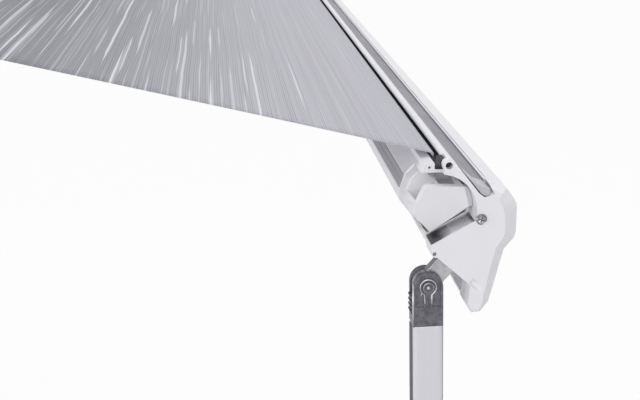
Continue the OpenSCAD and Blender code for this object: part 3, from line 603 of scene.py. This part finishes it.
# rib, rivet head, painted corner highlight and stop teeth of the two leg knuckles, and the strip down the leg that
# paints a groove's shade; rib and rivet dot are bright metal as painted highlights
knuckle = {
    "ribRadius": 6.2 * mm,  # of the round part of the keyhole
    "ribGap": 30,  # degrees to each side of straight down where the round part opens
    "ribSteps": 24,
    "ribFoot": (2.7 * mm, -14.0 * mm),
    "ribKnee": (0.98, 0.78),  # share of the foot's place where its bend begins
    "ribThick": (1.0 * mm, 0.55 * mm),  # at its two feet
    "headLift": 1.5 * mm,
    "headProfile": ((4.3, 0.0), (4.2, 0.2), (3.4, 0.3), (2.6, 0.2), (1.6, 0.25)),
    "highlightDotProfile": ((1.45, 0.2), (1.4, 0.5), (1.1, 0.85), (0.5, 1.0)),
    "insetHalf": 6.0 * mm,  # grey strip down both sides of the outer leg, painting the shade of a groove
    "insetThick": 0.4 * mm,
    "insetSink": 0.05 * mm,
    "insetTaper": 0.9,  # width of its outer face, as a share
    "insetEnds": (1.0 * mm, 26.0 * mm),  # bare tube above it and below it
    "highlightBead": (4.0, -31.4, 0.9),  # painted highlight along the corner beside the teeth: top, foot and radius in mm
    "highlightBeadInset": 0.55 * mm,  # its middle, from the corner
    "teeth": (-9.5, -13.5, -17.5, -21.5),
    "toothSize": (1.0, 2.4, 13.0),
    "toothRoot": 0.4 * mm,
    "toothSlant": (0.7 * mm, 0.3 * mm),  # at its lower and its upper face
    "toothRound": 0.25,  # in mm
}
blockFaces = ((0, 1, 2, 3), (7, 6, 5, 4), (0, 4, 5, 1), (1, 5, 6, 2), (2, 6, 7, 3), (3, 7, 4, 0))


def addBlock(points, faces, corners, flip=False):
    # closes eight corners, four at each end, into a block
    first = len(points)
    points += corners
    for ring in blockFaces:
        faces.append(tuple(first + k for k in (ring[::-1] if flip else ring)))


def sweepTube(points, radii, sides=10):
    rings, faces = [], []
    for i, point in enumerate(points):
        radius = radii[0] + (radii[1] - radii[0]) * i / (len(points) - 1)
        before = points[max(i - 1, 0)]
        after = points[min(i + 1, len(points) - 1)]
        run = (after - before).normalized()
        across = run.orthogonal().normalized()
        if i:
            across = (lastAcross - run * lastAcross.dot(run)).normalized()
        lastAcross = across
        other = run.cross(across)
        for k in range(sides):
            turn = 2 * math.pi * k / sides
            rings.append(point + (across * math.cos(turn) + other * math.sin(turn)) * radius)
    for i in range(len(points) - 1):
        for k in range(sides):
            a, b = i * sides + k, i * sides + (k + 1) % sides
            faces.append((a, b, b + sides, a + sides))
    last = (len(points) - 1) * sides
    faces += [tuple(range(sides - 1, -1, -1)), tuple(range(last, last + sides))]
    return rings, faces


def latheDome(profile, centre, axis, steps=28):
    across = axis.orthogonal().normalized()
    other = axis.cross(across)
    points, faces = [], []
    for radius, lift in profile:
        for k in range(steps):
            turn = 2 * math.pi * k / steps
            points.append(centre + axis * lift * mm
                + (across * math.cos(turn) + other * math.sin(turn)) * radius * mm)
    for i in range(len(profile) - 1):
        for k in range(steps):
            a, b = i * steps + k, i * steps + (k + 1) % steps
            faces.append((a, b, b + steps, a + steps))
    top = (len(profile) - 1) * steps
    faces += [tuple(range(top, top + steps)), tuple(range(steps - 1, -1, -1))]
    return points, faces


def makeRib(side, place, faceOut):
    footWide, footDown = knuckle["ribFoot"]
    kneeWide, kneeDown = footWide * knuckle["ribKnee"][0], footDown * knuckle["ribKnee"][1]
    start, stop = -90 - knuckle["ribGap"], -450 + knuckle["ribGap"]
    path = [place(-footWide, footDown, faceOut), place(-kneeWide, kneeDown, faceOut)]
    for k in range(knuckle["ribSteps"] + 1):
        angle = math.radians(start + (stop - start) * k / knuckle["ribSteps"])
        radius = knuckle["ribRadius"]
        path.append(place(math.cos(angle) * radius, math.sin(angle) * radius, faceOut))
    path += [place(kneeWide, kneeDown, faceOut), place(footWide, footDown, faceOut)]
    rib = sweepTube(path, knuckle["ribThick"])
    # the rib is in bright metal, which paints its highlight
    meshPiece(side + "KnuckleRib", *rib, highlightFinish, "knuckle_dark", side + "_leg")


def makeRivet(side, centre, out):
    head = latheDome(knuckle["headProfile"], centre, out)
    meshPiece(side + "KnuckleRivet", *head, ownFinish["leg_swing_pin"], "screw_steel", side + "_neck")
    # a small bright dome on the rivet paints its highlight
    dot = latheDome(knuckle["highlightDotProfile"], centre, out, 20)
    meshPiece(side + "KnuckleHighlightDot", *dot, highlightFinish, "screw_steel", side + "_neck")


def makeHighlightBead(side, place, faceWide, faceOut):
    # a bright round bar along the corner, painting its highlight
    top, foot, radius = (v * mm for v in knuckle["highlightBead"])
    inset = knuckle["highlightBeadInset"]
    highlightBead = sweepTube([place(faceWide - inset, v, faceOut - inset) for v in (top, foot)], (radius, radius))
    meshPiece(side + "KnuckleHighlightBead", *highlightBead, highlightFinish, "knuckle_dark", side + "_leg")


def makeGrooveShade(side, place, faceWide):
    tubeLow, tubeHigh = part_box("leg_outer_left")
    bareTop, bareFoot = knuckle["insetEnds"]
    top = tubeHigh.z - jointPoint("left_leg_swing").z - bareTop
    foot = top - (tubeHigh.z - tubeLow.z) + bareFoot
    sunk = faceWide - knuckle["insetSink"]
    proud = sunk + knuckle["insetThick"]
    half = knuckle["insetHalf"]
    faceHalf = half * knuckle["insetTaper"]
    outline = ((sunk, -half), (proud, -faceHalf), (proud, faceHalf), (sunk, half))
    points, faces = [], []
    for way in (-1, 1):
        corners = [place(way * u, v, lift) for v in (top, foot) for u, lift in outline]
        addBlock(points, faces, corners, way < 0)
    meshPiece(side + "LegGrooveShade", points, faces, grooveShadeFinish, "gutter_grey", side + "_leg")


def makeTeeth(side, place, faceWide):
    deep, tall, long = (v * mm for v in knuckle["toothSize"])
    root = -knuckle["toothRoot"]
    lower, upper = knuckle["toothSlant"]
    outline = ((root, -tall / 2), (deep, -tall / 2 + lower), (deep, tall / 2 - upper), (root, tall / 2))
    points, faces = [], []
    for at in knuckle["teeth"]:
        addBlock(points, faces,
            [place(faceWide + u, at * mm + v, lift) for lift in (-long / 2, long / 2) for u, v in outline])
    teeth = meshPiece(side + "KnuckleTeeth", points, faces, finishes["knuckle_dark"], "knuckle_dark",
        side + "_leg", smooth=False)
    roundEdges(teeth, knuckle["toothRound"])


def makeKnuckle(side, outward):
    pivot = jointPoint(side + "_leg_swing")
    up = jointAxis(side + "_leg_slide")
    out = jointAxis(side + "_leg_swing") * outward
    wide = up.cross(out)
    wide = wide if wide.y > 0 else -wide
    low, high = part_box("leg_knuckle_left")
    faceWide, faceOut = (high.y - low.y) / 2, (high.x - low.x) / 2

    def place(u, v, lift):
        # across the leg, up along it and out of its face, from the pin
        return pivot + wide * u + up * v + out * lift

    makeRib(side, place, faceOut)
    makeRivet(side, place(0, 0, faceOut + knuckle["headLift"]), out)
    makeHighlightBead(side, place, faceWide, faceOut)
    makeGrooveShade(side, place, faceWide)
    makeTeeth(side, place, faceWide)


makeKnuckle("left", -1)
makeKnuckle("right", 1)
print("knuckles detailed")

# strips and small trim of the front rail, in mm from the middle of its ridge
railStrips = {
    # grey strip on the inner tube that paints the shade of that face, from this far in
    "sealEnd": 58.5,
    "seal": ((24.6, -21.4), (25.3, -21.2), (26.6, -25.6), (27.2, -26.2), (27.1, -27.2), (28.6, -31.3),
        (28.0, -31.9)),
    # liner on the ledge under the plug: its line, thickness and place from the rail's end
    "ledge": ((12.0, -61.2), (-20.7, -43.4)),
    "ledgeThick": 0.35,
    "ledgeReach": (0.8, 24.4),
    # black gasket in the fabric's slot, which also paints the slot's deep shade, from this far in
    "gasketEnd": 25.3,
    "gasket": ((-4.5, -8.6), (6.2, -8.7), (6.2, -6.1), (2.6, -5.8), (-4.5, -6.3)),
    # black stop at each end of the slot, beside the port's ring, painting the shade of the slot's open end
    "stop": ((1.1, -2.4), (5.2, -2.4), (5.4, 1.4), (4.4, 2.3), (1.1, 2.3)),
    "stopReach": (9.0, 26.0),
    # black disc at the floor of the screw port that paints the bore's shade, its room in the bore and its sides
    "portReach": (6.3, 6.9),
    "portRoom": 0.05,
    "portSides": 24,
    # collar that fills the room between the plug and the cap
    "collar": ((-15.3, -20.9), (-19.7, -36.0), (-21.8, -36.2), (-21.5, -30.4), (-20.4, -26.6),
        (-18.7, -22.8), (-17.0, -20.2)),
    "collarReach": (16.4, 24.0),
}


def makeStrip(name, outline, reach, finish, slotName):
    count = len(outline)
    points = [(x, ridge.y + y * mm, ridge.z + z * mm) for x in reach for y, z in outline]
    faces = [(k, (k + 1) % count, count + (k + 1) % count, count + k) for k in range(count)]
    faces += [tuple(range(count - 1, -1, -1)), tuple(range(count, 2 * count))]
    meshPiece(name, points, faces, finish, slotName, "rail", smooth=False)


def makePair(name, outline, reach, finish, slotName):
    near, far = (railEnd + v * mm for v in reach)
    makeStrip("left" + name, outline, (near, far), finish, slotName)
    makeStrip("right" + name, outline, (-far, -near), finish, slotName)


def makeStrips():
    sealEnd = railEnd + railStrips["sealEnd"] * mm
    makeStrip("railTubeShade", railStrips["seal"], (sealEnd, -sealEnd), tubeShadeFinish, "gutter_grey")
    gasketEnd = railEnd + railStrips["gasketEnd"] * mm
    makeStrip("slotGasketShade", railStrips["gasket"], (gasketEnd, -gasketEnd), blackRubberAndShadeFinish, "black_plastic")
    low, high = (Vector(spot) for spot in railStrips["ledge"])
    run = (high - low).normalized()
    lift = Vector((run.y, -run.x)) * railStrips["ledgeThick"]
    outline = [tuple(spot) for spot in (low, high, high + lift, low + lift)]
    makePair("LedgeLiner", outline, railStrips["ledgeReach"], linerFinish, "screw_steel")
    makePair("SlotEndShade", railStrips["stop"], railStrips["stopReach"], blackRubberAndShadeFinish, "black_plastic")
    plugFinish = finishes["plug_grey"]
    makePair("PlugCollar", railStrips["collar"], railStrips["collarReach"], plugFinish, "plug_grey")
    radius = mounts["left_rail_port"]["dims"]["r_mm"] - railStrips["portRoom"]
    turns = [2 * math.pi * k / railStrips["portSides"] for k in range(railStrips["portSides"])]
    floor = [(radius * math.cos(t), radius * math.sin(t)) for t in turns]
    makePair("PortFloorShade", floor, railStrips["portReach"], blackRubberAndShadeFinish, "black_plastic")


makeStrips()
print("rail strips made")

# floor, light and camera
studio = {
    "floor": (0.86, 0.86, 0.87),
    "worldStrength": 0.42,
    "worldColour": (0.96, 0.96, 1.0),
    "floorSpan": 60.0,
    "floorGlow": 0.96,  # share of plain white in what shows of the floor; the rest keeps the shadow
}


def seenRays(tree):
    # the rays that show the plain background
    rays = addNode(tree, "ShaderNodeLightPath")
    seen = mathOf(tree, "MAXIMUM", rays.outputs["Is Camera Ray"], rays.outputs["Is Glossy Ray"])
    return mathOf(tree, "MAXIMUM", seen, rays.outputs["Is Transmission Ray"])


def mixInto(tree, share, first, second, output):
    mix = addNode(tree, "ShaderNodeMixShader")
    tree.links.new(share, mix.inputs[0])
    tree.links.new(first.outputs[0], mix.inputs[1])
    tree.links.new(second.outputs[0], mix.inputs[2])
    tree.links.new(mix.outputs[0], tree.nodes[output].inputs["Surface"])


def makeFloor():
    mesh = bpy.data.meshes.new("studioFloor")
    half = studio["floorSpan"] / 2
    level = groundLevel - 0.5 * mm
    corners = [(-half, -half, level), (half, -half, level), (half, half, level), (-half, half, level)]
    mesh.from_pydata(corners, [], [(0, 1, 2, 3)])
    floor = bpy.data.objects.new("studioFloor", mesh)
    bpy.context.scene.collection.objects.link(floor)
    finish, tree, shader = startFinish("studioFloor")
    shader.inputs["Base Color"].default_value = (*studio["floor"], 1)
    shader.inputs["Roughness"].default_value = 0.9
    glow = addNode(tree, "ShaderNodeEmission", Strength=1.0)
    share = mathOf(tree, "MULTIPLY", seenRays(tree), studio["floorGlow"])
    mixInto(tree, share, shader, glow, "Material Output")
    mesh.materials.append(finish)


def makeWorld():
    world = bpy.data.worlds.new("studio")
    bpy.context.scene.world = world
    world.use_nodes = True
    tree = world.node_tree
    soft = tree.nodes["Background"]
    soft.inputs["Color"].default_value = (*studio["worldColour"], 1)
    soft.inputs["Strength"].default_value = studio["worldStrength"]
    white = addNode(tree, "ShaderNodeBackground", Strength=1.0)
    mixInto(tree, seenRays(tree), soft, white, "World Output")


lamps = [
    {"name": "keyPanel", "at": (-3.5, -1.3, 0.2), "to": (-1.4, -1.7, -0.45), "size": 1.8, "power": 21},
    {"name": "frontPanel", "at": (0.5, -6.0, 2.2), "to": (0, -1.6, -0.4), "size": 3.5, "power": 55},
    {"name": "underPanel", "at": (-3.0, 3.5, -0.45), "to": (-1.0, -1.75, -0.4), "size": 2.2, "power": 46},
    {"name": "topPanel", "at": (-0.5, -0.8, 4.2), "to": (0, -1.0, 0), "size": 4.0, "power": 115},
]


def makeLamps():
    for lamp in lamps:
        data = bpy.data.lights.new(lamp["name"], "AREA")
        data.energy = lamp["power"]
        data.shape = "SQUARE"
        data.size = lamp["size"]
        thing = bpy.data.objects.new(lamp["name"], data)
        bpy.context.scene.collection.objects.link(thing)
        thing.location = lamp["at"]
        aim = Vector(lamp["to"]) - Vector(lamp["at"])
        thing.rotation_euler = aim.to_track_quat("-Z", "Y").to_euler()


shot = {
    "lens": 70.3125,  # in mm, as the sensor
    "sensor": 36,
    "ridgePixel": (449.4, 165.9),
    "distance": 0.9259,  # from the lens to the end of the ridge, along the view
    "forward": (0.9594, -0.0828, -0.2696),
    "frame": (640, 400),
}


def makeCamera():
    data = bpy.data.cameras.new("shot")
    data.lens = shot["lens"]
    data.sensor_width = shot["sensor"]
    data.clip_start = 0.02
    data.clip_end = 200
    camera = bpy.data.objects.new("shot", data)
    bpy.context.scene.collection.objects.link(camera)
    ahead = Vector(shot["forward"]).normalized()
    right = ahead.cross(Vector((0, 0, 1))).normalized()
    up = right.cross(ahead)
    wide, tall = shot["frame"]
    perPixel = shot["distance"] / (shot["lens"] / shot["sensor"] * wide)
    offX = (shot["ridgePixel"][0] - wide / 2) * perPixel
    offY = (tall / 2 - shot["ridgePixel"][1]) * perPixel
    ridgeEnd = Vector((railEnd, ridge.y, ridge.z))
    eye = ridgeEnd - ahead * shot["distance"] - right * offX - up * offY
    turn = Matrix((right, up, -ahead)).transposed()
    camera.matrix_world = Matrix.Translation(eye) @ turn.to_4x4()
    bpy.context.scene.camera = camera
    print("camera at", [round(v, 4) for v in eye])


makeFloor()
makeWorld()
makeLamps()
makeCamera()
bpy.context.scene.view_settings.view_transform = "Standard"
print("studio set")
